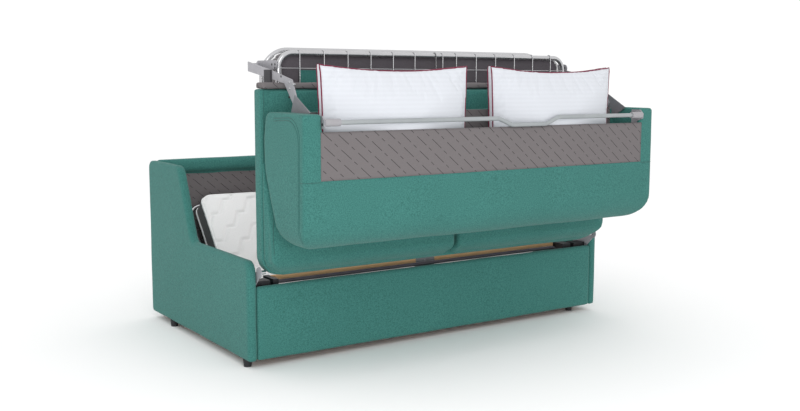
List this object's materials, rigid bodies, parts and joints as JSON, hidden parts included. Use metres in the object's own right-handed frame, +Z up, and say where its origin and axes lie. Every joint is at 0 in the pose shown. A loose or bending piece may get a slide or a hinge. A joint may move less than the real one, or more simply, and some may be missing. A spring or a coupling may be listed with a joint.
{
  "type": "sofa bed",
  "caption": "Fabric sofa bed caught half unfolded: seat and padded back tip forwards on side pivots while a jointed wire-net bed frame and mattress rise from the box.",
  "frame": {"origin": "bottom centre of the bounding box in the pictured, half unfolded pose, on the floor", "axes": "+X along the sofa, to the viewer's right from the front, +Y from the front panel to the rear wall, +Z up"},
  "size_m": [1.94, 1.504, 1.301],
  "materials": {
    "teal_fabric": "short-pile woven upholstery, soft sheen",
    "lining_fabric": "thin grey lining with fine broken diagonal lines",
    "mattress_fabric": "white quilted ticking",
    "pillow_cotton": "white striped cotton with dark red piping",
    "hardboard": "bare brown hardboard",
    "black_plastic": "moulded black plastic",
    "slat_wood": "pale bare wood",
    "dark_steel": "dark painted steel",
    "grey_plate": "grey painted steel plate",
    "bright_tube": "bright plated tube and wire",
    "pin_steel": "bare steel",
    "bar_metal": "satin grey tube",
    "grey_plastic": "moulded grey plastic"
  },
  "bodies": {
    "base": {"left_arm": "teal_fabric", "right_arm": "teal_fabric", "front_panel": "teal_fabric", "rear_wall": "teal_fabric", "rear_roll": "teal_fabric", "rear_lining": "lining_fabric", "base_board": "hardboard", "front_left_foot": "black_plastic", "rear_left_foot": "black_plastic", "front_right_foot": "black_plastic", "rear_right_foot": "black_plastic", "front_rail": "dark_steel", "left_slat": "slat_wood", "right_slat": "slat_wood", "slat_bracket": "grey_plate", "slat_holders": "black_plastic", "front_tube": "grey_plate", "left_hinge_plate": "grey_plate", "right_hinge_plate": "grey_plate", "left_pivot_block": "black_plastic", "right_pivot_block": "black_plastic", "left_head_bracket": "grey_plate", "right_head_bracket": "grey_plate", "base_pins": "pin_steel"},
    "seat_unit": {"seat_box": "teal_fabric", "left_seat_cushion": "teal_fabric", "right_seat_cushion": "teal_fabric", "seat_end_lining": "lining_fabric", "foot_frame": "bright_tube", "foot_net": "bright_tube", "guard_hoop": "bright_tube", "guard_strip": "bright_tube", "left_hoop_plate": "grey_plate", "right_hoop_plate": "grey_plate", "left_link_plate": "grey_plate", "right_link_plate": "grey_plate", "left_gusset_plate": "dark_steel", "right_gusset_plate": "dark_steel", "left_side_arm": "dark_steel", "right_side_arm": "dark_steel", "frame_spacers": "grey_plate", "foot_mattress": "mattress_fabric"},
    "backrest": {"back_shell": "teal_fabric", "back_lining": "lining_fabric", "pocket_liner": "lining_fabric", "support_bar": "bar_metal", "left_bar_sleeve": "grey_plastic", "right_bar_sleeve": "grey_plastic", "left_bar_bracket": "grey_plate", "right_bar_bracket": "grey_plate", "left_pillow": "pillow_cotton", "right_pillow": "pillow_cotton", "back_pins": "pin_steel"},
    "head_section": {"head_frame": "bright_tube", "head_net": "bright_tube", "head_mattress": "mattress_fabric", "middle_pins": "pin_steel"},
    "middle_section": {"middle_frame": "bright_tube", "middle_net": "bright_tube", "middle_mattress": "mattress_fabric"}
  },
  "joints": [
    {"name": "seat_flip", "type": "hinge", "parent": "base", "child": "seat_unit", "pos_m": [0, -0.363, 0.4], "axis": [1, 0, 0], "range_deg": [-90, 90], "deforming": ["foot_mattress"]},
    {"name": "back_fold", "type": "hinge", "parent": "seat_unit", "child": "backrest", "pos_m": [0, -0.473, 0.97], "axis": [1, 0, 0], "range_deg": [-90, 0], "deforming": ["left_pillow", "right_pillow"]},
    {"name": "head_fold", "type": "hinge", "parent": "base", "child": "head_section", "pos_m": [0, 0.637, 0.482], "axis": [1, 0, 0], "range_deg": [-45, 45], "deforming": ["head_mattress"]},
    {"name": "middle_level", "type": "hinge", "parent": "head_section", "child": "middle_section", "pos_m": [0, 0.37988, 0.17558], "axis": [1, 0, 0], "range_deg": [-45, 45], "deforming": ["middle_mattress"]}
  ],
  "couplings": [
    {"joint": "head_fold", "follows": "seat_flip", "ratio": -0.5},
    {"joint": "middle_level", "follows": "seat_flip", "ratio": 0.5}
  ]
}
